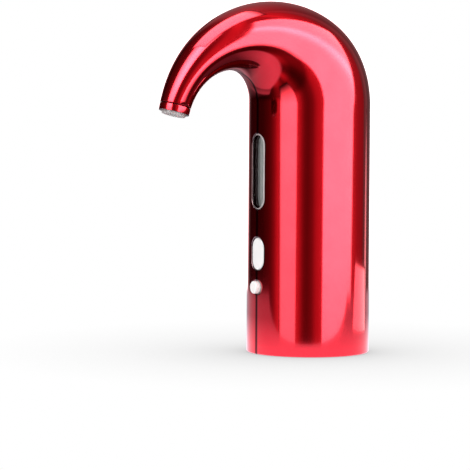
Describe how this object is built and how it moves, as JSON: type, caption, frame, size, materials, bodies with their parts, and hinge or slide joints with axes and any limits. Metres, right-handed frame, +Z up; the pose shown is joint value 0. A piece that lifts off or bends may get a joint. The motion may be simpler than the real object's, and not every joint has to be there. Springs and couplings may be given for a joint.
{
  "type": "electric wine aerator",
  "caption": "Cylindrical electric wine aerator that sits on a bottle's neck and pours through a hooked spout, with a clear window, push buttons and a telescopic dip tube",
  "frame": {"origin": "Centre of the bottle-neck opening in the base, on the plane that the part stands on", "axes": "+Z up along the bottle's axis, front (spout, window and buttons) towards -Y, X across the two half shells"},
  "size_m": [0.067, 0.1276, 0.1917],
  "materials": {
    "red_shell": "metallised red lacquer",
    "clear_plastic": "clear",
    "white_plastic": "satin",
    "dark_plastic": "moulded",
    "black_silicone": "matte",
    "pale_silicone": "translucent",
    "steel": "brushed",
    "brass": "sintered",
    "ferrite": "sintered",
    "armature_metal": "varnished winding",
    "battery_metal": "shrink sleeve",
    "green_board": "solder mask"
  },
  "bodies": {
    "housing": {"right_shell": "red_shell", "left_shell": "red_shell", "nozzle_ring": "red_shell", "nozzle_insert": "clear_plastic", "window_lens": "clear_plastic", "base_cover": "dark_plastic", "base_screws": "steel", "neck_seat": "dark_plastic", "bottle_stopper": "black_silicone", "lower_deck": "dark_plastic", "upper_deck": "dark_plastic", "deck_screws": "steel", "mixing_chamber": "clear_plastic", "chamber_cap": "dark_plastic", "flow_bridge": "dark_plastic", "drop_tube": "clear_plastic", "spout_hose": "pale_silicone", "aeration_hose": "pale_silicone", "air_hoses": "pale_silicone", "check_valve": "white_plastic", "pump_cover": "dark_plastic", "valve_plate": "white_plastic", "outlet_valve": "black_silicone", "pump_diaphragm": "black_silicone", "pump_case": "dark_plastic", "pump_screws": "steel", "motor_can": "steel", "motor_magnets": "ferrite", "motor_end_cap": "white_plastic", "motor_bushes": "brass", "battery_cell": "battery_metal", "button_board": "green_board", "push_switches": "dark_plastic", "window_lamp": "white_plastic", "charge_board": "green_board", "charge_socket": "steel", "tube_sleeve": "steel"},
    "pour_key": {"pour_button": "white_plastic"},
    "power_key": {"power_button": "white_plastic"},
    "rotor": {"motor_shaft": "steel", "armature": "armature_metal", "pump_cam": "white_plastic", "wobble_pin": "steel"},
    "rocker": {"pump_rocker": "white_plastic"},
    "upper_section": {"tube_upper": "steel"},
    "middle_section": {"tube_middle": "steel"},
    "lower_section": {"tube_lower": "steel", "tube_foot": "dark_plastic"}
  },
  "joints": [
    {"name": "pour_press", "type": "slide", "parent": "housing", "child": "pour_key", "axis": [0, 1, 0], "range_m": [0, 0.0008], "stiffness_N_per_m": 1000, "springref_m": -0.001},
    {"name": "power_press", "type": "slide", "parent": "housing", "child": "power_key", "axis": [0, 1, 0], "range_m": [0, 0.0008], "stiffness_N_per_m": 1000, "springref_m": -0.001},
    {"name": "rotor_spin", "type": "hinge", "parent": "housing", "child": "rotor", "pos_m": [0, 0.01755, 0.1], "axis": [0, 0, 1], "continuous": true},
    {"name": "rocker_wobble", "type": "hinge", "parent": "rotor", "child": "rocker", "pos_m": [0, 0.01755, 0.0742], "axis": [0.1392, 0, 0.9903], "continuous": true, "deforming": ["pump_diaphragm"]},
    {"name": "upper_slide", "type": "slide", "parent": "housing", "child": "upper_section", "axis": [0, 0, -1], "range_m": [0, 0.085]},
    {"name": "middle_slide", "type": "slide", "parent": "upper_section", "child": "middle_section", "axis": [0, 0, -1], "range_m": [0, 0.085]},
    {"name": "lower_slide", "type": "slide", "parent": "middle_section", "child": "lower_section", "axis": [0, 0, -1], "range_m": [0, 0.085]}
  ],
  "couplings": [
    {"joint": "rocker_wobble", "follows": "rotor_spin", "ratio": -1}
  ]
}
